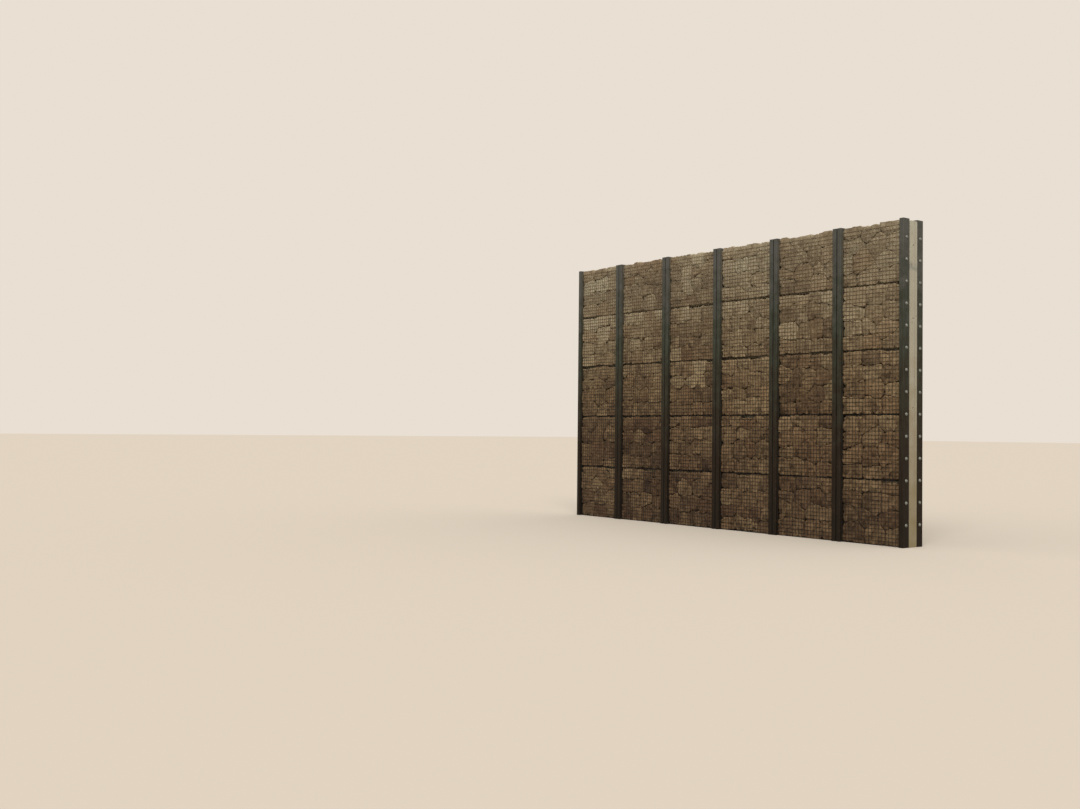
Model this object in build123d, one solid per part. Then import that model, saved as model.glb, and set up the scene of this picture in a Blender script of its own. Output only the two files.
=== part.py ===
import os

from build123d import *

# A straight run of a stone-faced boundary wall, six bays long. A concrete core stands
# between two rows of posts made of rectangular steel tube. Stone-filled mesh baskets are
# stacked between the posts on both faces, and the core shows only at the two ends.
# Frame: X along the wall, the front face towards -Y, +Z up, and the origin at the
# middle of the base. All sizes are in millimetres.

# Bays, counted from the left as seen from the front
bay_count = 6
bay_width = 930.0          # clear, between two double posts
end_bay_width = 875.0      # clear, between a double post and an end post

# Posts: one tube at each end of the wall, two tubes side by side in between. Their tops
# are closed and nothing shows of their insides, so they are solid.
post_height = 4020.0
tube_width = 65.0          # along the wall
tube_depth = 125.0         # across the wall
tube_corner = 10.0         # outside radius
pair_gap = 10.0            # between the two tubes of a double post

# Packers welded between the two tubes of a double post, one at each course
packer_height = 120.0
packer_depth = 90.0

# Concrete core
core_thickness = 150.0
core_drop = 20.0           # core top below the post tops
core_arris = 12.0          # chamfer along its two top edges
tie_hole_radius = 11.0     # form tie holes in its end faces
tie_hole_depth = 35.0
tie_hole_heights = (1700.0, 2800.0, 3700.0)

# Baskets
course_count = 5
course_pitch = 812.0
basket_depth = 90.0        # at its top and bottom edges
basket_bow = 8.0           # how far the front stands out at mid height
basket_edge_radius = 16.0
basket_clearance = 0.3     # to the core behind it and to the basket under it
basket_side_gap = 5.0      # to the post on each side of it
basket_top_drop = 12.0     # top basket below the post tops

# Worked out from the sizes above
post_half_width = pair_gap / 2 + tube_width          # of a double post
bay_pitch = bay_width + 2 * post_half_width
last_post_x = (bay_count / 2 - 1) * bay_pitch        # middle of the last double post
wall_half_length = last_post_x + post_half_width + end_bay_width + tube_width
core_height = post_height - core_drop
front, rear = -1, 1        # side of the core that a piece stands on


def tube(x, side):
    # One full-height tube, centred at x and flat on the core.
    body = extrude(RectangleRounded(tube_width, tube_depth, tube_corner), post_height)
    return Pos(x, side * (core_thickness + tube_depth) / 2, 0) * body


def double_post(x, side):
    # Two tubes side by side, joined by the packers between them.
    apart = (pair_gap + tube_width) / 2
    post = tube(x - apart, side) + tube(x + apart, side)
    y = side * (core_thickness + tube_depth) / 2
    for course in range(course_count):
        z = (course + 0.5) * post_height / course_count
        post += Pos(x, y, z) * Box(pair_gap, packer_depth, packer_height)
    return post


def post_x(number):
    # Middle of a double post. Post 0 and the last one are the wall's ends.
    return (number - bay_count / 2) * bay_pitch


def post(number, side):
    end_x = wall_half_length - tube_width / 2
    if number == 0:
        return tube(-end_x, side)
    if number == bay_count:
        return tube(end_x, side)
    return double_post(post_x(number), side)


def bay_span(bay):
    # Left and right limits of a bay between its posts; bay 0 is the leftmost.
    left = post_x(bay) + post_half_width
    right = post_x(bay + 1) - post_half_width
    if bay == 0:
        left = right - end_bay_width
    if bay == bay_count - 1:
        right = left + end_bay_width
    return left, right


def basket_section(height):
    # Side view: flat back and ends, and a front bowed out between rounded edges.
    with BuildSketch(Plane.YZ) as section:
        with BuildLine():
            Polyline((basket_depth, 0), (0, 0), (0, height), (basket_depth, height))
            ThreePointArc(
                (basket_depth, height),
                (basket_depth + basket_bow, height / 2),
                (basket_depth, 0),
            )
        make_face()
        fillet(section.vertices().group_by(Axis.Y)[-1], basket_edge_radius)
    return section.sketch


def bay_baskets(bay, side):
    # The stack of baskets in one bay, as solids just clear of each other.
    left, right = bay_span(bay)
    width = right - left - 2 * basket_side_gap
    y = core_thickness / 2 + basket_clearance
    baskets = []
    for course in range(course_count):
        bottom = course * course_pitch
        height = course_pitch - basket_clearance
        if course == course_count - 1:
            height = post_height - basket_top_drop - bottom
        basket = extrude(basket_section(height), width, dir=(1, 0, 0))
        basket = Pos(left + basket_side_gap, y, bottom) * basket
        if side == front:
            basket = mirror(basket, about=Plane.XZ)
        baskets += basket.solids()
    return Compound(children=baskets)


def core_wall():
    core = Pos(0, 0, core_height / 2) * Box(2 * wall_half_length, core_thickness, core_height)
    top_edges = core.edges().filter_by(Axis.X).group_by(Axis.Z)[-1]
    core = chamfer(top_edges, core_arris)
    for z in tie_hole_heights:
        for end in (-1, 1):
            middle = end * (wall_half_length - tie_hole_depth / 2)
            hole = Cylinder(tie_hole_radius, tie_hole_depth, rotation=(0, 90, 0))
            core -= Pos(middle, 0, z) * hole
    return core


def save(piece, node):
    export_step(piece, "parts/" + node + ".step")


os.makedirs("parts", exist_ok=True)
save(core_wall(), "core_wall")
for side, face in ((front, "front"), (rear, "rear")):
    for number in range(bay_count + 1):
        save(post(number, side), f"{face}_post_{number + 1}")
    for bay in range(bay_count):
        save(bay_baskets(bay, side), f"{face}_baskets_bay_{bay + 1}")
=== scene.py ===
from math import cos, radians, sin

import bpy
import numpy as np
from mathutils import Matrix, Vector


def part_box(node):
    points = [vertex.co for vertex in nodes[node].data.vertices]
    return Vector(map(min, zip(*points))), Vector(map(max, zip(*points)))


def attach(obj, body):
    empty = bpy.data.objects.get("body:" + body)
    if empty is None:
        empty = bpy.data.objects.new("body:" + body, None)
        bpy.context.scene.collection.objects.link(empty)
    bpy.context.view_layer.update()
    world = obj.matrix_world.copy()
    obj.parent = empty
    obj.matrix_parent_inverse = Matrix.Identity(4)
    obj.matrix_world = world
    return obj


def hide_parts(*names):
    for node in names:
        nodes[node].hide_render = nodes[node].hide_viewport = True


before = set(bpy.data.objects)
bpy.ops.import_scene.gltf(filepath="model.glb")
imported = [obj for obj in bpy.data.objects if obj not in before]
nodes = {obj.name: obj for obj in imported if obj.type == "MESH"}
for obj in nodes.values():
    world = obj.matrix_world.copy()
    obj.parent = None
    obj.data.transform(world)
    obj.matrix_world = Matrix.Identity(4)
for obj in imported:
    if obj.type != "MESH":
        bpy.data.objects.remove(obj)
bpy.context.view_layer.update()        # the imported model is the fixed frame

# A gabion-faced boundary wall: rough brown stones in welded mesh baskets, stacked between
# steel tube posts on both sides of a concrete core. Metres, +Z up, front to -Y.

bayCount = sum(name.startswith("front_baskets_bay_") for name in nodes)
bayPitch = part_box("front_post_3")[0].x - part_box("front_post_2")[0].x
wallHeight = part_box("front_post_1")[1].z
print("frame loaded:", len(nodes), "nodes,", bayCount, "bays")


def linearColour(hexCode):
    # sRGB hex to linear: each channel is divided by 12.92 when dark, else raised to 2.4
    channels = [int(hexCode[i:i + 2], 16) / 255 for i in (1, 3, 5)]
    return tuple(c / 12.92 if c <= 0.04045 else ((c + 0.055) / 1.055) ** 2.4 for c in channels) + (1.0,)


def addNode(tree, kind, inputs=None, ramp=None, **settings):
    # Adds one node. Inputs are values or other nodes' sockets; ramp is (position, hex) stops.
    # A socket goes by name or number: on Map Range 1 and 2 are the range it reads, 3 and 4 the
    # one it gives. On a colour Mix 0 is the share of the second colour, 6 and 7 are the two.
    node = tree.nodes.new("ShaderNode" + kind)
    for name, value in settings.items():
        setattr(node, name, value)
    for socket, value in (inputs or {}).items():
        if isinstance(value, bpy.types.NodeSocket):
            tree.links.new(value, node.inputs[socket])
        else:
            node.inputs[socket].default_value = value
    if ramp:
        elements = node.color_ramp.elements
        while len(elements) < len(ramp):
            elements.new(1.0)
        for element, (position, hexCode) in zip(elements, ramp):
            element.position = position
            element.color = linearColour(hexCode)
    return node


def newMaterial(name):
    # A material and its node tree, still empty
    material = bpy.data.materials.new(name)
    material.use_nodes = True
    tree = material.node_tree
    tree.nodes.clear()
    return material, tree


def finishMaterial(tree, colour, roughness, height=None, bumpDepth=0.001, **values):
    # One principled shader; height drives a bump of bumpDepth metres
    inputs = {"Base Color": colour, "Roughness": roughness, **values}
    if height is not None:
        bump = addNode(tree, "Bump", {"Height": height, "Distance": bumpDepth, "Strength": 1.0})
        inputs["Normal"] = bump.outputs["Normal"]
    shader = addNode(tree, "BsdfPrincipled", inputs)
    addNode(tree, "OutputMaterial", {"Surface": shader.outputs[0]})


def heightShare(tree):
    # The Object coordinates, and the height as a share: 0 at the ground, 1 at the wall's top.
    # Stone, paint, wire and concrete darken towards the ground: painted shade from the dark ground and the
    # sky above.
    place = addNode(tree, "TexCoord").outputs["Object"]
    split = addNode(tree, "SeparateXYZ", {0: place})
    share = addNode(tree, "Math", {0: split.outputs["Z"], 1: wallHeight}, operation="DIVIDE")
    return place, share.outputs[0]


noiseSpan = {1: 0.3, 2: 0.7}      # what a Map Range reads: where nearly all of a noise lies

stoneFinish = {
    "blotch": 90.0,      # mm, cloudy patches in the stone
    "facet": 62.0,       # mm, broken faces, each leaning its own way
    "facetSlope": 0.42,  # how steeply the most leaning ones do near the ground
    "facetTop": 0.4,     # share of that at the top, where smoother stones were picked
    "facetFade": (0.35, 0.85),   # share of the height where they start to flatten, and end
    "chip": 22.0,        # mm, marks left by the hammer
    "grain": 16.0,       # mm, far coarser than the real grain, so that it shows
    "chipBump": 0.6,     # shares of chips and grain in the bump
    "grainBump": 0.4,
    "bumpDepth": 0.003,  # m
    "ownShift": (31.0, 47.0, 59.0),   # m for a whole tone, how far a stone's patterns move
    "cloudTone": 0.22,   # how far the patches move a stone's tone up or down
    "grainTone": 0.14,   # and how far the grain does
    "dust": 0.6,         # share of dust on what faces straight up
    "dustFrom": (0.25, 0.9),     # upward part of the normal where dust starts and is full
    "roughness": 0.92,
}


def splitSandstone():
    # Quarried brown sandstone split by hammer: matt broken faces, each stone its own tone,
    # pale dust on what faces up, and painted shade: darker and browner towards the ground
    material, tree = newMaterial("splitSandstone")
    place, share = heightShare(tree)
    tone = addNode(tree, "Attribute", attribute_name="stoneTone")
    warmth = addNode(tree, "Attribute", attribute_name="stoneWarmth")
    # A stone's tone also shifts its patterns, so that none runs on into the next stone
    own = addNode(tree, "VectorMath", {0: tone.outputs["Vector"], 1: stoneFinish["ownShift"], 2: place},
                  operation="MULTIPLY_ADD").outputs[0]
    blotch = addNode(tree, "TexNoise", {"Vector": own, "Scale": 1000 / stoneFinish["blotch"], "Detail": 4.0})
    chip = addNode(tree, "TexVoronoi", {"Vector": own, "Scale": 1000 / stoneFinish["chip"]})
    grain = addNode(tree, "TexNoise", {"Vector": own, "Scale": 1000 / stoneFinish["grain"], "Detail": 3.0})
    facet = addNode(tree, "TexVoronoi", {"Vector": own, "Scale": 1000 / stoneFinish["facet"]})
    fromMiddle = addNode(tree, "VectorMath", {0: own, 1: facet.outputs["Position"]}, operation="SUBTRACT")
    lean = addNode(tree, "VectorMath", {0: facet.outputs["Color"], 1: (0.5, 0.5, 0.5)}, operation="SUBTRACT")
    slant = addNode(tree, "VectorMath", {0: fromMiddle.outputs[0], 1: lean.outputs[0]},
                    operation="DOT_PRODUCT")
    cloud = addNode(tree, "MapRange", {0: blotch.outputs[0], **noiseSpan,
                                       3: -stoneFinish["cloudTone"], 4: stoneFinish["cloudTone"]})
    speck = addNode(tree, "MapRange", {0: grain.outputs[0], **noiseSpan,
                                       3: -stoneFinish["grainTone"], 4: stoneFinish["grainTone"]})
    shade = addNode(tree, "Math", {0: tone.outputs["Fac"], 1: cloud.outputs[0]}, operation="ADD")
    shade = addNode(tree, "Math", {0: shade.outputs[0], 1: speck.outputs[0]}, operation="ADD")
    brown = addNode(tree, "ValToRGB", {0: shade.outputs[0]},
                    ramp=[(0.0, "#66533e"), (0.3, "#87745a"), (0.62, "#a69578"), (1.0, "#bdaf92")])
    rusty = addNode(tree, "Mix", {0: warmth.outputs["Fac"], 6: brown.outputs[0], 7: linearColour("#9a7450")},
                    data_type="RGBA")
    upward = addNode(tree, "SeparateXYZ", {0: addNode(tree, "NewGeometry").outputs["Normal"]})
    start, full = stoneFinish["dustFrom"]
    dusty = addNode(tree, "MapRange", {0: upward.outputs["Z"], 1: start, 2: full,
                                       3: 0.0, 4: stoneFinish["dust"]})
    dust = addNode(tree, "Mix", {0: dusty.outputs[0], 6: rusty.outputs[2], 7: linearColour("#b8a98a")},
                   data_type="RGBA")
    # Painted shade: the colour is multiplied darker and browner towards the ground
    groundShade = addNode(tree, "ValToRGB", {0: share},
                   ramp=[(0.0, "#a8957f"), (0.3, "#b29e87"), (0.5, "#c8b8a2"), (0.68, "#e0d8cc"),
                         (0.9, "#ebecea")])
    colour = addNode(tree, "Mix", {0: 1.0, 6: dust.outputs[2], 7: groundShade.outputs[0]},
                     data_type="RGBA", blend_type="MULTIPLY")
    # The bump adds up chips, grain and facets, and the facets grow flatter with height
    height = addNode(tree, "Math", {0: chip.outputs["Distance"], 1: stoneFinish["chipBump"]},
                     operation="MULTIPLY")
    height = addNode(tree, "Math", {0: grain.outputs[0], 1: stoneFinish["grainBump"],
                                    2: height.outputs[0]}, operation="MULTIPLY_ADD")
    steepness = 2 * stoneFinish["facetSlope"] / stoneFinish["bumpDepth"]
    start, reached = stoneFinish["facetFade"]
    steep = addNode(tree, "MapRange", {0: share, 1: start, 2: reached, 3: steepness,
                                       4: steepness * stoneFinish["facetTop"]})
    height = addNode(tree, "Math", {0: slant.outputs["Value"], 1: steep.outputs[0], 2: height.outputs[0]},
                     operation="MULTIPLY_ADD")
    finishMaterial(tree, colour.outputs[2], stoneFinish["roughness"], height.outputs[0],
                   stoneFinish["bumpDepth"], IOR=1.5)
    return material


paintFinish = {
    "streak": 22.0,        # mm, width of the streaks
    "streakLength": 16,    # times as long as they are wide
    "patch": 140.0,        # mm, uneven weathering
    "wander": 0.14,        # share of the height, how far it moves the paint's colours
    "rust": 36.0,          # mm, rust spots
    "rustFrom": (0.60, 0.68),    # rust noise at which spots start and are full
    "rustBrown": 0.8,      # share of rust in a full spot
    "chalk": 0.35,         # share of chalk in the palest streaks
    "chalkFrom": (0.45, 0.75),   # streak noise at which chalk starts and is full
    "chalkHeight": (0.2, 0.7),   # share of the wall's height with the least chalk, and with all
    "chalkLow": 0.25,      # share of it that the least is
    "gapShade": (0.004, 0.010),   # m from a double post's middle, where the painted shade is full and where it ends
    "gapDark": 0.7,        # share of painted shade in the gap
    "roughness": (0.5, 0.8),     # between streaks and in the palest ones
    "bumpDepth": 0.0015,   # m
}


def weatheredPaint():
    # Welded steel tube with brushed-on dark green-grey paint: chalked near the top, streaked
    # down its length, near black with painted shade in the narrow gap between two tubes, and
    # darker and browner near the ground with painted shade, and rust
    material, tree = newMaterial("weatheredSteelPaint")
    place, share = heightShare(tree)
    streakPlace = addNode(tree, "Mapping", {0: place, "Scale": (1.0, 1.0, 1 / paintFinish["streakLength"])})
    streak = addNode(tree, "TexNoise", {"Vector": streakPlace.outputs[0], "Detail": 4.0,
                                        "Scale": 1000 / paintFinish["streak"]})
    patch = addNode(tree, "TexNoise", {"Vector": place, "Scale": 1000 / paintFinish["patch"], "Detail": 6.0,
                                       "Roughness": 0.65})
    wander = addNode(tree, "MapRange", {0: patch.outputs[0], **noiseSpan,
                                        3: -paintFinish["wander"], 4: paintFinish["wander"]})
    level = addNode(tree, "Math", {0: share, 1: wander.outputs[0]}, operation="ADD")
    # Painted shade: the paint runs from brown-black at the ground to pale grey at the top, around its own
    # green-grey
    paint = addNode(tree, "ValToRGB", {0: level.outputs[0]},
                    ramp=[(0.0, "#1e170f"), (0.3, "#261d13"), (0.5, "#312d22"), (0.7, "#3a3c31"),
                          (0.9, "#514f48"), (1.0, "#585650")])
    start, full = paintFinish["chalkFrom"]
    chalk = addNode(tree, "MapRange", {0: streak.outputs[0], 1: start, 2: full,
                                       3: 0.0, 4: paintFinish["chalk"]})
    least, whole = paintFinish["chalkHeight"]
    washed = addNode(tree, "MapRange", {0: share, 1: least, 2: whole, 3: paintFinish["chalkLow"], 4: 1.0})
    chalk = addNode(tree, "Math", {0: chalk.outputs[0], 1: washed.outputs[0]}, operation="MULTIPLY")
    chalked = addNode(tree, "Mix", {0: chalk.outputs[0], 6: paint.outputs[0], 7: linearColour("#5c5c50")},
                      data_type="RGBA")
    rust = addNode(tree, "TexNoise", {"Vector": place, "Scale": 1000 / paintFinish["rust"], "Detail": 8.0,
                                      "Roughness": 0.7})
    start, full = paintFinish["rustFrom"]
    rusting = addNode(tree, "MapRange", {0: rust.outputs[0], 1: start, 2: full,
                                         3: 0.0, 4: paintFinish["rustBrown"]})
    rusty = addNode(tree, "Mix", {0: rusting.outputs[0], 6: chalked.outputs[2], 7: linearColour("#4d3320")},
                    data_type="RGBA")
    # How far a point is from the middle of its post: X wrapped to one bay, without its sign
    split = addNode(tree, "SeparateXYZ", {0: place})
    aside = addNode(tree, "Math", {0: split.outputs["X"], 1: bayPitch / 2, 2: -bayPitch / 2},
                    operation="WRAP")
    aside = addNode(tree, "Math", {0: aside.outputs[0]}, operation="ABSOLUTE")
    # Painted shade in the narrow gap between two tubes: the paint goes near black there
    full, none = paintFinish["gapShade"]
    shadedGap = addNode(tree, "MapRange", {0: aside.outputs[0], 1: full, 2: none,
                                       3: paintFinish["gapDark"], 4: 0.0})
    colour = addNode(tree, "Mix", {0: shadedGap.outputs[0], 6: rusty.outputs[2], 7: linearColour("#120f0a")},
                     data_type="RGBA")
    smooth, rough = paintFinish["roughness"]
    roughness = addNode(tree, "MapRange", {0: streak.outputs[0], 1: 0.2, 2: 0.8, 3: smooth, 4: rough})
    finishMaterial(tree, colour.outputs[2], roughness.outputs[0], rust.outputs[0],
                   paintFinish["bumpDepth"], IOR=1.5, **{"Specular IOR Level": 0.12})
    return material


zincFinish = {
    "wirePatch": 62.5,      # mm, uneven weathering of the wires
    "wander": 0.12,         # share of the height, how far it moves their colours
    "wireRoughness": 0.7,
    "wireMetal": 0.2,       # little zinc still shows
    "boltPatches": 60.0,    # mottles to a metre on the bolt heads
    "boltRoughness": 0.55,
    "boltMetal": 0.7,
    "bumpDepth": 0.0004,    # m
}


def meshWire():
    # Drawn and welded galvanised wire, its zinc gone dull and brown with dust. Its colour also holds
    # painted shade and light: near black near the ground and straw-coloured at the top
    material, tree = newMaterial("dulledGalvanisedWire")
    place, share = heightShare(tree)
    patch = addNode(tree, "TexNoise", {"Vector": place, "Scale": 1000 / zincFinish["wirePatch"],
                                       "Detail": 5.0})
    wander = addNode(tree, "MapRange", {0: patch.outputs[0], **noiseSpan,
                                        3: -zincFinish["wander"], 4: zincFinish["wander"]})
    level = addNode(tree, "Math", {0: share, 1: wander.outputs[0]}, operation="ADD")
    # Painted shade and light: the ramp darkens the wires near the ground and lightens them at the top
    colour = addNode(tree, "ValToRGB", {0: level.outputs[0]},
                     ramp=[(0.0, "#17110b"), (0.45, "#251c13"), (0.7, "#56482f"), (1.0, "#807055")])
    finishMaterial(tree, colour.outputs[0], zincFinish["wireRoughness"], patch.outputs[0],
                   zincFinish["bumpDepth"], Metallic=zincFinish["wireMetal"])
    return material


def boltZinc():
    # Zinc-plated bolts, gone matt: pale grey dots against the dark paint
    material, tree = newMaterial("mattZincPlate")
    place = addNode(tree, "TexCoord").outputs["Object"]
    patch = addNode(tree, "TexNoise", {"Vector": place, "Scale": zincFinish["boltPatches"],
                                       "Detail": 4.0})
    colour = addNode(tree, "ValToRGB", {0: patch.outputs[0]},
                     ramp=[(0.3, "#6f7068"), (0.7, "#94958d")])
    finishMaterial(tree, colour.outputs[0], zincFinish["boltRoughness"], patch.outputs[0],
                   zincFinish["bumpDepth"], Metallic=zincFinish["boltMetal"])
    return material


concreteFinish = {
    "coldJoint": 3.43,       # m, where one pour met the next
    "coldJointBand": 0.06,   # half height of its dark band
    "formLine": 0.03,        # m behind the middle, the edge of a form board
    "cloud": 260.0,          # mm, patches of different grey
    "wander": 0.16,          # share of the height, how far they move its colours
    "spot": 70.0,            # mm, dark spots
    "pore": 9.0,             # mm apart, air holes
    "poreWidth": (0.05, 0.22),     # share of that, from a hole's middle: deepest, and none
    "waver": 0.05,           # m, how far the dark band strays up and down
    "bandDark": 0.65,        # share of grey in the band
    "lineWidth": (0.002, 0.008),   # m from the board's edge, full and none
    "lineDark": 0.4,         # share of dark colour in the line
    "spotFrom": (0.62, 0.72),      # spot noise at which spots start and are full
    "spotDark": 0.55,        # share of dark colour in a full spot
    "roughness": 0.9,
    "bumpDepth": 0.0015,     # m
}


def castConcrete():
    # Grey-beige concrete cast in two pours against forms: pale and clouded, with pores and
    # dark spots, a grey band where the pours met, and painted shade: darker and browner near the ground
    material, tree = newMaterial("castConcrete")
    place, share = heightShare(tree)
    cloud = addNode(tree, "TexNoise", {"Vector": place, "Scale": 1000 / concreteFinish["cloud"],
                                       "Detail": 6.0, "Roughness": 0.6})
    pore = addNode(tree, "TexVoronoi", {"Vector": place, "Scale": 1000 / concreteFinish["pore"]})
    spots = addNode(tree, "TexNoise", {"Vector": place, "Scale": 1000 / concreteFinish["spot"],
                                       "Detail": 4.0})
    wander = addNode(tree, "MapRange", {0: cloud.outputs[0], **noiseSpan,
                                        3: -concreteFinish["wander"], 4: concreteFinish["wander"]})
    level = addNode(tree, "Math", {0: share, 1: wander.outputs[0]}, operation="ADD")
    # Painted shade: darker and browner towards the ground
    base = addNode(tree, "ValToRGB", {0: level.outputs[0]},
                   ramp=[(0.0, "#8f7f5c"), (0.3, "#a09277"), (0.6, "#afa58e"), (1.0, "#bab29c")])
    # The band: distance in height from the cold joint, which wavers with the clouds
    split = addNode(tree, "SeparateXYZ", {0: place})
    lift = addNode(tree, "MapRange", {0: cloud.outputs[0], **noiseSpan,
                                      3: -concreteFinish["waver"], 4: concreteFinish["waver"]})
    above = addNode(tree, "Math", {0: split.outputs["Z"], 1: lift.outputs[0]}, operation="ADD")
    joint = addNode(tree, "Math", {0: above.outputs[0], 1: concreteFinish["coldJoint"]},
                    operation="SUBTRACT")
    joint = addNode(tree, "Math", {0: joint.outputs[0]}, operation="ABSOLUTE")
    band = addNode(tree, "MapRange", {0: joint.outputs[0], 1: 0.0, 2: concreteFinish["coldJointBand"],
                                      3: concreteFinish["bandDark"], 4: 0.0})
    banded = addNode(tree, "Mix", {0: band.outputs[0], 6: base.outputs[0], 7: linearColour("#7d7d75")},
                     data_type="RGBA")
    # The line: distance from the edge of a form board, across the wall
    form = addNode(tree, "Math", {0: split.outputs["Y"], 1: concreteFinish["formLine"]},
                   operation="SUBTRACT")
    form = addNode(tree, "Math", {0: form.outputs[0]}, operation="ABSOLUTE")
    full, none = concreteFinish["lineWidth"]
    line = addNode(tree, "MapRange", {0: form.outputs[0], 1: full, 2: none,
                                      3: concreteFinish["lineDark"], 4: 0.0})
    lined = addNode(tree, "Mix", {0: line.outputs[0], 6: banded.outputs[2], 7: linearColour("#7d7461")},
                    data_type="RGBA")
    start, full = concreteFinish["spotFrom"]
    dark = addNode(tree, "MapRange", {0: spots.outputs[0], 1: start, 2: full,
                                      3: 0.0, 4: concreteFinish["spotDark"]})
    colour = addNode(tree, "Mix", {0: dark.outputs[0], 6: lined.outputs[2], 7: linearColour("#6f675a")},
                     data_type="RGBA")
    deepest, none = concreteFinish["poreWidth"]
    hole = addNode(tree, "MapRange", {0: pore.outputs["Distance"], 1: deepest, 2: none, 3: 0.0, 4: 1.0})
    finishMaterial(tree, colour.outputs[2], concreteFinish["roughness"], hole.outputs[0],
                   concreteFinish["bumpDepth"], IOR=1.5)
    return material


materials = {
    "stone": splitSandstone(),
    "post": weatheredPaint(),
    "wire": meshWire(),
    "bolt": boltZinc(),
    "core": castConcrete(),
}
print("materials made:", ", ".join(m.name for m in materials.values()))


def meshFromArrays(points, quads, triangles):
    # Whole arrays go into the mesh at once: points, then loops, then where each face starts
    mesh = bpy.data.meshes.new("piece")
    loops = np.concatenate([quads.ravel(), triangles.ravel()]).astype(np.int32)
    starts = np.concatenate([
        np.arange(len(quads)) * 4,
        len(quads) * 4 + np.arange(len(triangles)) * 3,
    ]).astype(np.int32)
    mesh.vertices.add(len(points))
    mesh.vertices.foreach_set("co", points.astype(np.float32).ravel())
    mesh.loops.add(len(loops))
    mesh.loops.foreach_set("vertex_index", loops)
    mesh.polygons.add(len(starts))
    mesh.polygons.foreach_set("loop_start", starts)
    mesh.update(calc_edges=True)
    return mesh


def addPiece(name, mesh, material):
    # A finished piece stands at the origin with its place in its mesh, and rides on the wall
    mesh.name = name
    mesh.materials.append(material)
    piece = bpy.data.objects.new(name, mesh)
    bpy.context.scene.collection.objects.link(piece)
    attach(piece, "root")
    return piece


# Baskets, read from the frame; sizes in metres
basket = {
    "pitch": 0.812,        # height of a course
    "bow": 0.008,          # how far the front stands out at mid height
    "edgeRadius": 0.016,   # bend of the mesh over its top and bottom edges
    "seat": 0.0003,        # gap to the basket under it
    "swell": 0.003,        # how far a filled basket swells towards the post on each side
}


def basketBoxes(face, bay):
    # (left, bottom, back, width, height, depth) of each basket in a bay's stack
    low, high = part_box(f"{face}_baskets_bay_{bay}")
    back, out = sorted((abs(low.y), abs(high.y)))
    left, right = low.x - basket["swell"], high.x + basket["swell"]
    count = int(round((high.z - low.z) / basket["pitch"]))
    boxes = []
    for course in range(count):
        bottom = low.z + course * basket["pitch"]
        top = high.z if course == count - 1 else bottom + basket["pitch"] - basket["seat"]
        boxes.append((left, bottom, back, right - left, top - bottom, out - back))
    return boxes


def toWall(points, box, face):
    # Basket coordinates, across, up and out from the core, to the wall's own frame.
    # The rear face is turned half a turn, so nothing is mirrored inside out.
    left, bottom, back, width = box[:4]
    across, up, out = points[..., 0], points[..., 1], points[..., 2]
    if face == "front":
        return np.stack([left + across, -(back + out), bottom + up], axis=-1)
    return np.stack([left + width - across, back + out, bottom + up], axis=-1)


def frontOut(up, height, depth):
    # How far out the basket's front is at a height: a parabola, furthest out at mid height
    share = 2 * up / height - 1
    return depth - basket["bow"] * share ** 2


stoneFill = {
    "rowHeight": (0.13, 0.25),   # m, least and most
    "stoneWidth": (0.14, 0.36),
    "stray": 0.036,        # m, how far a stone's middle strays from its row
    "unevenSize": 0.016,   # square metres, how strongly a big stone pushes its neighbours off
    "steps": 26,           # points round a stone's outline
    "warp": 0.009,         # m, how far the joints wander from straight
    "warpCell": 0.075,     # m, over what length they wander
    "warpEdge": 0.05,      # m from a basket's edge, where they stop wandering
    "crest": (0.008, 0.018),     # under and over a top basket's top, where stones are heaped
    "crestRagged": (-0.004, 0.006),   # and how uneven each one is there
    "shortTop": 0.034,     # how far the topmost stones of other baskets may stay short
    "raggedTop": 0.012,    # and how uneven each one is there
    "liftBottom": 0.014,   # how far the lowest stones of a basket may stand off its base
    "raggedBottom": 0.006,       # and how uneven each one is there
    "joint": -0.0010,      # half of the gap between two stones; below 0 they meet, wedged tight
    "chipped": 0.0016,     # how far each point strays from it
    "broken": (0.20, 0.13),      # share of the outline that is broken deeper, in the lowest
                                 # and in the topmost basket
    "brokenDepth": 0.030,  # how deep, at most
    "brokenLeast": 0.3,    # share of that, at least
    "mostOff": 0.3,        # share of a stone's reach that may be chipped off at most
    "faceStray": 0.004,    # how far the points of the face stray sideways
    "recess": (0.016, 0.012),    # how far a stone may lie behind the mesh, lowest and topmost
    "tilt": 0.040,         # slope of a stone's face
    "bulge": 0.006,        # crown of a stone's face
    "rough": 0.0040,       # random height of its facets
    "unevenEdge": (0.6, 1.7),    # least and most share of the rings' drops
    "clearance": 0.001,    # to the mesh, and to the basket's sides, top and base
    "backGap": (0.004, 0.014),   # to the concrete, least and most
    "leastEdge": 0.010,    # depth of a stone's side in front of its back
}
# Rings from the middle of the face to the back: share of the outline, and how far back. The
# first two lie on the face, and these and the third are rough. The last lies at the back. It
# and the one before are whole, so that a broken corner slopes back to the stone's full width.
stoneRings = ((0.45, 0.0), (0.82, 0.0), (0.97, 0.001), (1.0, 0.0045), (1.0, 0.034), (0.96, 0.0))
faceRings, roughRings, wholeRings = 2, 3, 2


def together(*coordinates):
    # Coordinates side by side, each repeated to the size of the largest
    return np.stack(np.broadcast_arrays(*coordinates), axis=-1)


def shareOut(rng, length, least, most):
    # Middles of random lengths between two limits, scaled so that they fill the whole length
    parts = rng.uniform(least, most, int(round(2 * length / (least + most))))
    ends = np.cumsum(parts) * length / parts.sum()
    return (ends + np.append(0, ends[:-1])) / 2


def stoneMiddles(rng, width, height):
    # Middles of the stones: uneven rows of uneven widths, each strayed a little
    rows = shareOut(rng, height, *stoneFill["rowHeight"])
    middles = [together(shareOut(rng, width, *stoneFill["stoneWidth"]), row) for row in rows]
    middles = np.concatenate(middles)
    return middles + rng.uniform(-1, 1, middles.shape) * stoneFill["stray"]


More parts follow.
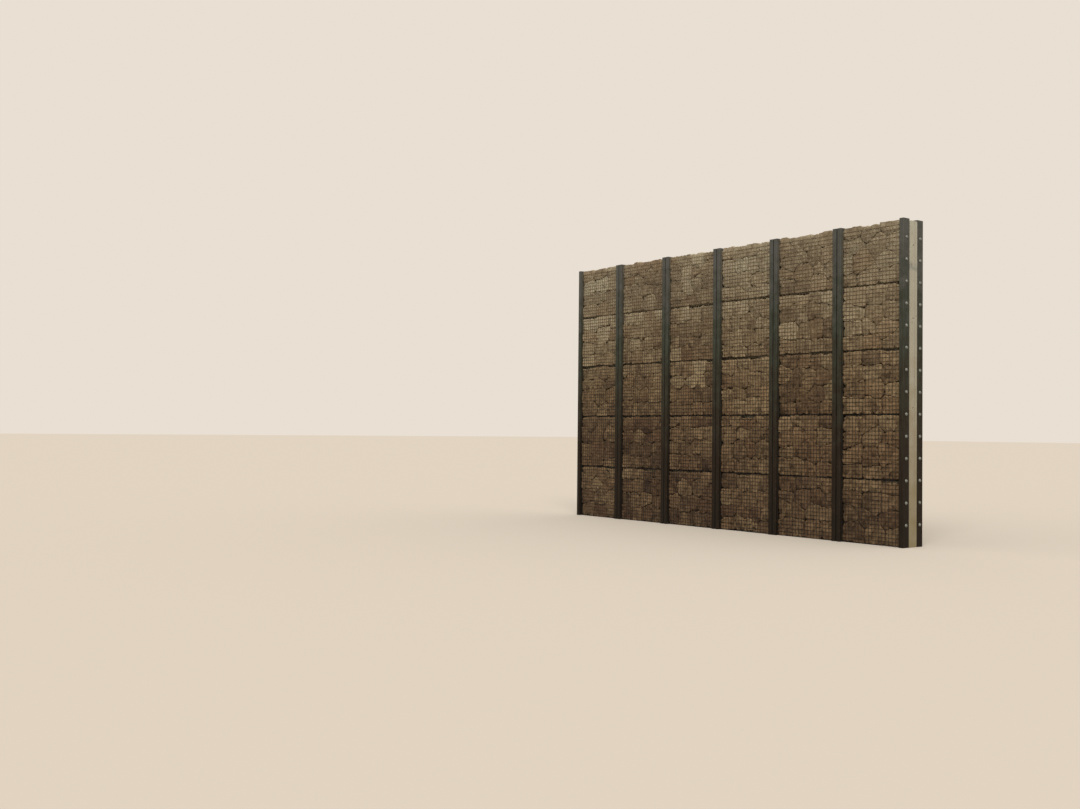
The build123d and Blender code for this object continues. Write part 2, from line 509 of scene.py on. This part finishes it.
def stoneOutlines(rng, middles, width, height):
    # In each direction a stone reaches to the nearest of: the lines part way to its
    # neighbours, where the share of the way follows their sizes, and the basket's sides
    angle = np.arange(stoneFill["steps"]) * 2 * np.pi / stoneFill["steps"]
    aim = np.stack([np.cos(angle), np.sin(angle)], axis=-1)
    apart = middles[None] - middles[:, None]
    weight = rng.uniform(0, stoneFill["unevenSize"], len(middles))
    square = (apart ** 2).sum(axis=-1) + weight[:, None] - weight[None]
    along = apart @ aim.T
    with np.errstate(divide="ignore", invalid="ignore"):
        reach = np.where(along > 1e-6, square[..., None] / (2 * along), np.inf).min(axis=1)
        size = np.array((width, height))
        sides = np.where(aim[None] > 0, (size - middles)[:, None] / aim, -middles[:, None] / aim)
    return np.minimum(reach, np.where(np.isfinite(sides), sides, np.inf).min(axis=-1)), aim


def warpPlane(rng, points, width, height):
    # The plane of the joints is pushed about: random pushes on a coarse lattice, blended
    # between its points by smoothed shares, and fading out at the basket's edges
    cell = stoneFill["warpCell"]
    pushes = rng.uniform(-1, 1, (int(width / cell) + 3, int(height / cell) + 3, 2)) * stoneFill["warp"]
    at = np.clip(points, 0, (width, height)) / cell
    low = np.floor(at).astype(int)
    share = at - low
    share = share * share * (3 - 2 * share)
    x, y = low[..., 0], low[..., 1]
    sx, sy = share[..., :1], share[..., 1:]
    push = ((pushes[x, y] * (1 - sx) + pushes[x + 1, y] * sx) * (1 - sy)
            + (pushes[x, y + 1] * (1 - sx) + pushes[x + 1, y + 1] * sx) * sy)
    edge = np.minimum(points, (width, height) - points) / stoneFill["warpEdge"]
    return points + push * np.clip(edge, 0, 1)


def basketOutlines(rng, width, height, crest):
    # Outlines of a basket's stones as seen from the front: reach times direction from each
    # middle, warped, then uneven where they meet the basket's top and base
    middles = stoneMiddles(rng, width, height)
    count, steps = len(middles), stoneFill["steps"]
    reach, aim = stoneOutlines(rng, middles, width, height)
    outline = middles[:, None] + reach[..., None] * aim
    atTop = outline[..., 1] > height - stoneFill["clearance"]
    atBottom = outline[..., 1] < stoneFill["clearance"]
    outline = warpPlane(rng, outline, width, height)
    if crest:
        under, over = stoneFill["crest"]
        short = rng.uniform(-over, under, (count, 1))
        short = short + rng.uniform(*stoneFill["crestRagged"], (count, steps))
    else:
        short = rng.uniform(0, 1, (count, 1)) ** 2 * stoneFill["shortTop"]
        short = short + rng.uniform(0, stoneFill["raggedTop"], (count, steps))
    outline[..., 1] -= np.where(atTop, short, 0)
    lift = rng.uniform(0, 1, (count, 1)) ** 3 * stoneFill["liftBottom"]
    lift = lift + rng.uniform(0, stoneFill["raggedBottom"], (count, steps))
    outline[..., 1] += np.where(atBottom, lift, 0)
    return outline


def ringArms(rng, arms, level):
    # From a stone's middle to the points of its rings: the arm to the outline, shortened by
    # the joint, by chips and here and there by a broken corner, times the ring's share
    count, steps = arms.shape[:2]
    reach = np.linalg.norm(arms, axis=-1, keepdims=True)
    off = stoneFill["joint"] + rng.normal(0, stoneFill["chipped"], (count, steps, 1))
    whole = arms * (1 - np.minimum(off / reach, stoneFill["mostOff"]))
    share = np.interp(level, (0, 1), stoneFill["broken"])
    broken = rng.random((count, steps, 1)) < share
    off += broken * rng.uniform(stoneFill["brokenLeast"], 1, (count, steps, 1)) * stoneFill["brokenDepth"]
    chipped = arms * (1 - np.minimum(off / reach, stoneFill["mostOff"]))
    number = np.arange(len(stoneRings))[:, None, None]
    scales = np.array(stoneRings)[:, 0, None, None]
    isWhole = number >= len(stoneRings) - wholeRings
    return np.where(isWhole, whole[:, None], chipped[:, None]) * scales


def stonesIn(box, rng, level):
    # A basket's stones. Each is a surface of two parameters: the way round its outline,
    # and the way from the middle of its face over the edge to the middle of its back.
    # The level is 0 for the lowest basket of a stack and 1 for the topmost.
    width, height, depth = box[3:]
    crest = level == 1
    outline = basketOutlines(rng, width, height, crest)
    count, steps = outline.shape[:2]
    middle = outline.mean(axis=1)
    flat = ringArms(rng, outline - middle[:, None], level) + middle[:, None, None]
    flat[:, :faceRings] += rng.normal(0, stoneFill["faceStray"], (count, faceRings, steps, 2))
    # How far out: a tilted face behind the mesh, less the rings' drops, crowned and rough
    slope = rng.normal(0, stoneFill["tilt"], (count, 1, 1, 2))
    tilted = ((flat - middle[:, None, None]) * slope).sum(axis=-1)
    behindWires = 2 * wire["wire"]
    recess = np.interp(level, (0, 1), stoneFill["recess"])
    face = depth - behindWires - rng.uniform(0, recess, (count, 1, 1))
    drops = np.array(stoneRings)[:, 1, None]
    out = face + tilted - drops * rng.uniform(*stoneFill["unevenEdge"], (count, 1, 1))
    out[:, 0] += stoneFill["bulge"] * rng.uniform(0, 1, (count, 1))
    out[:, :roughRings] += rng.normal(0, stoneFill["rough"], (count, roughRings, steps))
    out = np.minimum(out, frontOut(flat[..., 1], height, depth) - behindWires - stoneFill["clearance"])
    out[:, -1] = rng.uniform(*stoneFill["backGap"], (count, steps))
    out[:, -2] = np.maximum(out[:, -2], out[:, -1] + stoneFill["leastEdge"])
    rings = np.concatenate([flat, out[..., None]], axis=-1).reshape(count, -1, 3)
    centre = np.concatenate([middle, out[:, 0].mean(axis=1)[:, None]], axis=-1)[:, None]
    back = np.concatenate([middle, out[:, -1].mean(axis=1)[:, None]], axis=-1)[:, None]
    points = np.concatenate([centre, rings, back], axis=1)
    clearance = stoneFill["clearance"]
    top = height + stoneFill["crest"][1] if crest else height - clearance
    points[..., 0] = np.clip(points[..., 0], clearance, width - clearance)
    points[..., 1] = np.clip(points[..., 1], clearance, top)
    return points


def closedRingFaces(ringCount, steps):
    # Faces of one closed surface: a fan at each pole and a band of quads between rings
    around = np.arange(steps)
    following = (around + 1) % steps
    base = 1 + np.arange(ringCount - 1)[:, None] * steps
    corners = (base + around, base + steps + around, base + steps + following, base + following)
    quads = np.stack(corners, axis=-1)
    last = 1 + (ringCount - 1) * steps
    pole = last + steps
    front = np.stack([np.zeros(steps, int), 1 + around, 1 + following], axis=-1)
    rear = np.stack([np.full(steps, pole), last + following, last + around], axis=-1)
    return quads.reshape(-1, 4), np.concatenate([front, rear])


def repeatFaces(faces, copies, pointsEach):
    # The same faces for each copy, with the point numbers moved on
    shift = np.arange(copies)[:, None, None] * pointsEach
    return (faces[None] + shift).reshape(-1, faces.shape[1])


wire = {
    "opening": 0.050,      # pitch of the wires both ways
    "wire": 0.005,         # diameter
    "edgeWire": 0.006,     # diameter at the two upright edges
    "sides": 4,            # of a wire's section
    "crestDrop": 0.030,    # the top baskets' uprights end below the heaped stones
    "baseStart": 0.006,    # how far out from a basket's back its base wires begin
    "lidWires": (0.2, 0.8),      # share of the depth, where level wires cross lid and base
    "bendSteps": 3,        # of a wire's bend over the lower and upper edge
    "frontSteps": 5,       # of its way up the bowed front
}


def tubes(paths, sideways, diameter):
    # Wires as prisms: a square section, turned to the path, is carried along each path
    count, stations = paths.shape[:2]
    tangent = np.gradient(paths, axis=1)
    tangent /= np.linalg.norm(tangent, axis=-1, keepdims=True)
    sideways = np.broadcast_to(np.array(sideways, float), tangent.shape)
    other = np.cross(tangent, sideways)
    sides = wire["sides"]
    angle = (np.arange(sides) + 0.5) * 2 * np.pi / sides
    ring = (np.cos(angle)[:, None] * sideways[:, :, None] + np.sin(angle)[:, None] * other[:, :, None])
    points = (paths[:, :, None] + diameter / 2 * ring).reshape(count, -1, 3)
    around = np.arange(sides)
    following = (around + 1) % sides
    base = np.arange(stations - 1)[:, None] * sides
    corners = (base + around, base + following, base + sides + following, base + sides + around)
    bands = np.stack(corners, axis=-1)
    last = (stations - 1) * sides
    caps = np.stack([around[::-1], last + around])
    faces = np.concatenate([bands.reshape(-1, 4), caps])
    return points.reshape(-1, 3), repeatFaces(faces, count, points.shape[1])


def uprightPath(height, depth, inward, crest):
    # Out along the base, round the lower edge, up the bowed front, and then straight to
    # the top, or round the upper edge and back in
    radius = basket["edgeRadius"]
    turn = np.linspace(np.pi / 2, 0, wire["bendSteps"] + 1)
    rise = np.linspace(radius, height - radius, wire["frontSteps"] + 1)[1:-1]
    lowOut = frontOut(np.array([radius]), height, depth)[0]
    lower = np.stack([lowOut - radius + (radius - inward) * np.cos(turn),
                      radius - (radius - inward) * np.sin(turn)], axis=-1)
    front = np.stack([frontOut(rise, height, depth) - inward, rise], axis=-1)
    upper = lower[::-1] * (1, -1) + (0, height)
    start = np.array([(wire["baseStart"], inward)])
    if crest:
        top = height - wire["crestDrop"]
        upper, end = upper[:0], np.array([(frontOut(top, height, depth) - inward, top)])
    else:
        end = start * (1, -1) + (0, height)
    return np.concatenate([start, lower, front, upper, end])


def wirePlaces(length):
    # Wires one opening apart, as many as fit, centred on the length
    places = np.arange(1, int(length / wire["opening"])) * wire["opening"]
    return places + (length - places[0] - places[-1]) / 2


def basketMesh(box, crest):
    # Welded mesh of one basket: uprights outside, level wires behind them, a base, and a
    # lid on all but the top basket, whose uprights end just above its top wire
    width, height, depth = box[3:]
    half, edgeHalf = wire["wire"] / 2, wire["edgeWire"] / 2
    section = uprightPath(height, depth, half, crest)
    uprights = together(wirePlaces(width)[:, None], section[:, 1], section[:, 0])
    section = uprightPath(height, depth, edgeHalf, crest)
    edges = np.array([edgeHalf, width - edgeHalf])
    edgeWires = together(edges[:, None], section[:, 1], section[:, 0])
    behind = 3 * half
    rows = wirePlaces(height)
    lidOut = np.array(wire["lidWires"]) * depth
    levels = np.concatenate([rows, np.full(len(lidOut), behind)])
    outs = np.concatenate([frontOut(rows, height, depth) - behind, lidOut])
    if not crest:
        levels = np.append(levels, np.full(len(lidOut), height - behind))
        outs = np.append(outs, lidOut)
    level = together(np.array([0.0, width]), levels[:, None], outs[:, None])
    parts = [
        tubes(uprights, (1, 0, 0), wire["wire"]),
        tubes(edgeWires, (1, 0, 0), wire["edgeWire"]),
        tubes(level, (0, 0, 1), wire["wire"]),
    ]
    points, faces, total = [], [], 0
    for partPoints, partFaces in parts:
        points.append(partPoints)
        faces.append(partFaces + total)
        total += len(partPoints)
    return np.concatenate(points), np.concatenate(faces)


stoneTones = {
    "seed": 9967,                # start of the random draws: here bays 2 and 3 come out darker
    "seedPerBay": 100,           # added for each bay
    "seedRear": 53,              # and for the rear face
    "middle": 0.5,               # a middling stone's tone, 0 dark and 1 pale
    "least": 0.02,               # and the darkest one's
    "bays": 0.08,                # how unlike the bays are
    "baskets": 0.05,             # and the baskets of a bay
    "spread": (0.19, 0.08),      # and the stones, in the lowest and in the topmost basket
    "pale": (0.07, 0.42),        # share of much paler stones, and how much paler
    "warmth": (0.08, 0.10),      # how rusty the stones are on average, and how unlike
    "mostWarmth": 0.35,          # and the rustiest one's
}


def buildBay(face, bay):
    # Stones and mesh of one bay's stack, as two pieces. A stone's tone is the middling one
    # plus random amounts for its bay, its basket and itself. Its warmth is how rusty it is.
    seed = stoneTones["seed"] + stoneTones["seedPerBay"] * bay
    rng = np.random.default_rng(seed + (0 if face == "front" else stoneTones["seedRear"]))
    stonePoints, tones, warmths, wirePoints, wireFaces = [], [], [], [], []
    wires = 0
    bayTone = rng.normal(0, stoneTones["bays"])
    boxes = basketBoxes(face, bay)
    for course, box in enumerate(boxes):
        level = course / (len(boxes) - 1)
        points = stonesIn(box, rng, level)
        stonePoints.append(toWall(points, box, face))
        basketTone = stoneTones["middle"] + bayTone + rng.normal(0, stoneTones["baskets"])
        spread = np.interp(level, (0, 1), stoneTones["spread"])
        share, lift = stoneTones["pale"]
        tone = rng.normal(basketTone, spread, len(points)) + (rng.random(len(points)) < share) * lift
        tones.append(np.clip(tone, stoneTones["least"], 1.0))
        warmth = rng.normal(*stoneTones["warmth"], len(points))
        warmths.append(np.clip(warmth, 0.0, stoneTones["mostWarmth"]))
        points, faces = basketMesh(box, level == 1)
        wirePoints.append(toWall(points, box, face))
        wireFaces.append(faces + wires)
        wires += len(points)
    stones = np.concatenate(stonePoints)
    quads, triangles = closedRingFaces(len(stoneRings), stoneFill["steps"])
    stoneMesh = meshFromArrays(
        stones.reshape(-1, 3),
        repeatFaces(quads, len(stones), stones.shape[1]),
        repeatFaces(triangles, len(stones), stones.shape[1]),
    )
    for name, values in (("stoneTone", tones), ("stoneWarmth", warmths)):
        attribute = stoneMesh.attributes.new(name, "FLOAT", "POINT")
        perPoint = np.repeat(np.concatenate(values), stones.shape[1])
        attribute.data.foreach_set("value", perPoint.astype(np.float32))
    stonePiece = addPiece(f"{face}_stones_bay_{bay}", stoneMesh, materials["stone"])
    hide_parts(f"{face}_baskets_bay_{bay}")
    wireMesh = meshFromArrays(np.concatenate(wirePoints), np.concatenate(wireFaces), np.zeros((0, 3), int))
    wireMesh.shade_smooth()
    addPiece(f"{face}_mesh_bay_{bay}", wireMesh, materials["wire"])
    return len(stones)


stoneCount = 0
for face in ("front", "rear"):
    for bay in range(1, bayCount + 1):
        stoneCount += buildBay(face, bay)
print("baskets filled:", stoneCount, "stones")


bolt = {
    "pitch": basket["pitch"] / 3,  # three to a course
    "topGap": 0.05,        # least distance of the highest from the post's top
    "flats": 0.030,        # across the head's flats
    "head": 0.009,         # height of the head
    "bevel": (0.9, 0.002),       # share of the hexagon at the head's top, and how far down
    "washer": 0.044,       # diameter
    "washerThick": 0.003,
    "steps": 12,           # points round it
}


def boltRings():
    # A bolt head on its washer, from its top to the washer's foot. Each ring has a share of
    # the hexagon, a round radius and a height.
    washer, thick = bolt["washer"] / 2, bolt["washerThick"]
    top = thick + bolt["head"]
    share, down = bolt["bevel"]
    return ((share, 0, top), (1, 0, top - down), (1, 0, thick), (0, washer, thick), (0, washer, 0))


def buildBolts():
    # Bolt heads down the outer side of each end post. The hexagon's radius is its half
    # width over the cosine of the angle from the nearest flat.
    steps = bolt["steps"]
    angle = np.arange(steps) * 2 * np.pi / steps
    fromFlat = (angle + np.pi / 6) % (np.pi / 3) - np.pi / 6
    hexagon = bolt["flats"] / 2 / np.cos(fromFlat)
    share, plain, height = np.array(boltRings())[:, :, None].transpose(1, 0, 2)
    radius = share * hexagon + plain
    rings = together(radius * np.cos(angle), radius * np.sin(angle), height)
    top, foot = (0, 0, rings[0, 0, 2]), (0, 0, 0)
    one = np.concatenate([[top], rings.reshape(-1, 3), [foot]])
    places = []
    for face in ("front", "rear"):
        for number, end in ((1, -1), (bayCount + 1, 1)):
            low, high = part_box(f"{face}_post_{number}")
            rows = np.arange(bolt["pitch"], high.z - bolt["topGap"], bolt["pitch"])
            outside = high.x if end > 0 else low.x
            places += [(outside, (low.y + high.y) / 2, z, end) for z in rows]
    x, y, z, end = np.array(places).T[..., None]
    points = np.stack([x + end * one[:, 2], y + end * one[:, 0], z + one[:, 1]], axis=-1)
    quads, triangles = closedRingFaces(len(rings), steps)
    boltMesh = meshFromArrays(points.reshape(-1, 3), repeatFaces(quads, len(places), len(one)),
                              repeatFaces(triangles, len(places), len(one)))
    addPiece("end_post_bolts", boltMesh, materials["bolt"])
    return len(places)


print("bolts set:", buildBolts())

# The carried-over steel and concrete keep their shape and get their finish
for name, node in nodes.items():
    if "_post_" in name or name == "core_wall":
        finish = materials["core" if name == "core_wall" else "post"]
        node.data.materials.clear()
        node.data.materials.append(finish)
print("posts and core finished")

studio = {
    "backdrop": "#e9dfd3",
    "floor": "#c9bfb1",
    "floorHalf": 200.0,       # m
    "floorDrop": 0.001,       # m under the wall's base
    "bounce": "#45413b",      # what the floor throws back on the wall
    "light": "#fbf6ef",       # the world's light, an overcast sky
    "sky": 0.85,              # and its strength
    "key": 2.2,               # strength of the soft key light
    "keyAngle": 35.0,         # degrees, how soft
    "keyFrom": (0.8, -0.9, 1.1),
}


def paleRays(tree):
    # 1 for rays that show the surroundings: seen directly, mirrored or through glass
    path = addNode(tree, "LightPath")
    seen = addNode(tree, "Math", {0: path.outputs["Is Camera Ray"], 1: path.outputs["Is Glossy Ray"]},
                   operation="MAXIMUM")
    return addNode(tree, "Math", {0: seen.outputs[0], 1: path.outputs["Is Transmission Ray"]},
                   operation="MAXIMUM").outputs[0]


def buildStudio():
    # Pale floor, pale world and one soft key light
    world = bpy.data.worlds.new("studioWorld")
    bpy.context.scene.world = world
    world.use_nodes = True
    tree = world.node_tree
    tree.nodes.clear()
    light = addNode(tree, "Background", {0: linearColour(studio["light"]), 1: studio["sky"]})
    shown = addNode(tree, "Background", {0: linearColour(studio["backdrop"]), 1: 1.0})
    mixed = addNode(tree, "MixShader", {0: paleRays(tree), 1: light.outputs[0], 2: shown.outputs[0]})
    addNode(tree, "OutputWorld", {0: mixed.outputs[0]})
    half = studio["floorHalf"]
    corners = [(-half, -half, 0), (half, -half, 0), (half, half, 0), (-half, half, 0)]
    floorMesh = bpy.data.meshes.new("studioFloor")
    floorMesh.from_pydata(corners, [], [(0, 1, 2, 3)])
    floor = bpy.data.objects.new("studioFloor", floorMesh)
    floor.location.z = -studio["floorDrop"]
    bpy.context.scene.collection.objects.link(floor)
    material, tree = newMaterial("paleFloor")
    bounce = addNode(tree, "BsdfDiffuse", {0: linearColour(studio["bounce"])})
    pale = addNode(tree, "BsdfDiffuse", {0: linearColour(studio["floor"])})
    mixed = addNode(tree, "MixShader", {0: paleRays(tree), 1: bounce.outputs[0], 2: pale.outputs[0]})
    addNode(tree, "OutputMaterial", {0: mixed.outputs[0]})
    floorMesh.materials.append(material)
    keyLight = bpy.data.lights.new("softKey", "SUN")
    keyLight.energy = studio["key"]
    keyLight.angle = radians(studio["keyAngle"])
    key = bpy.data.objects.new("softKey", keyLight)
    key.rotation_euler = Vector(studio["keyFrom"]).to_track_quat("Z", "Y").to_euler()
    bpy.context.scene.collection.objects.link(key)


buildStudio()
print("studio built")

# Camera: where the photograph was taken from, worked out from the posts and course lines
view = {
    "place": (11.641, -12.094, 1.380),
    "turn": 53.07,         # degrees to the left of +Y
    "rise": 1.304,         # degrees above level
    "roll": 0.558,         # degrees
    "focalPixels": 1148.8,
    "frameWidth": 1080,    # pixels
    "sensor": 36.0,        # mm
    "clipEnd": 400.0,      # m
}


def buildCamera():
    # The view direction from turn and rise, then the frame rolled about it
    turn, rise, roll = (radians(view[key]) for key in ("turn", "rise", "roll"))
    forward = Vector((-sin(turn) * cos(rise), cos(turn) * cos(rise), sin(rise)))
    level = Vector((cos(turn), sin(turn), 0))
    up = level.cross(forward)
    right = level * cos(roll) + up * sin(roll)
    upright = up * cos(roll) - level * sin(roll)
    data = bpy.data.cameras.new("photoCamera")
    data.sensor_fit = "HORIZONTAL"
    data.sensor_width = view["sensor"]
    data.lens = view["focalPixels"] * view["sensor"] / view["frameWidth"]
    data.clip_end = view["clipEnd"]
    camera = bpy.data.objects.new("photoCamera", data)
    axes = Matrix((right, upright, -forward)).transposed()
    camera.matrix_world = Matrix.Translation(Vector(view["place"])) @ axes.to_4x4()
    bpy.context.scene.collection.objects.link(camera)
    bpy.context.scene.camera = camera


buildCamera()
bpy.context.scene.view_settings.view_transform = "Standard"
print("camera set")
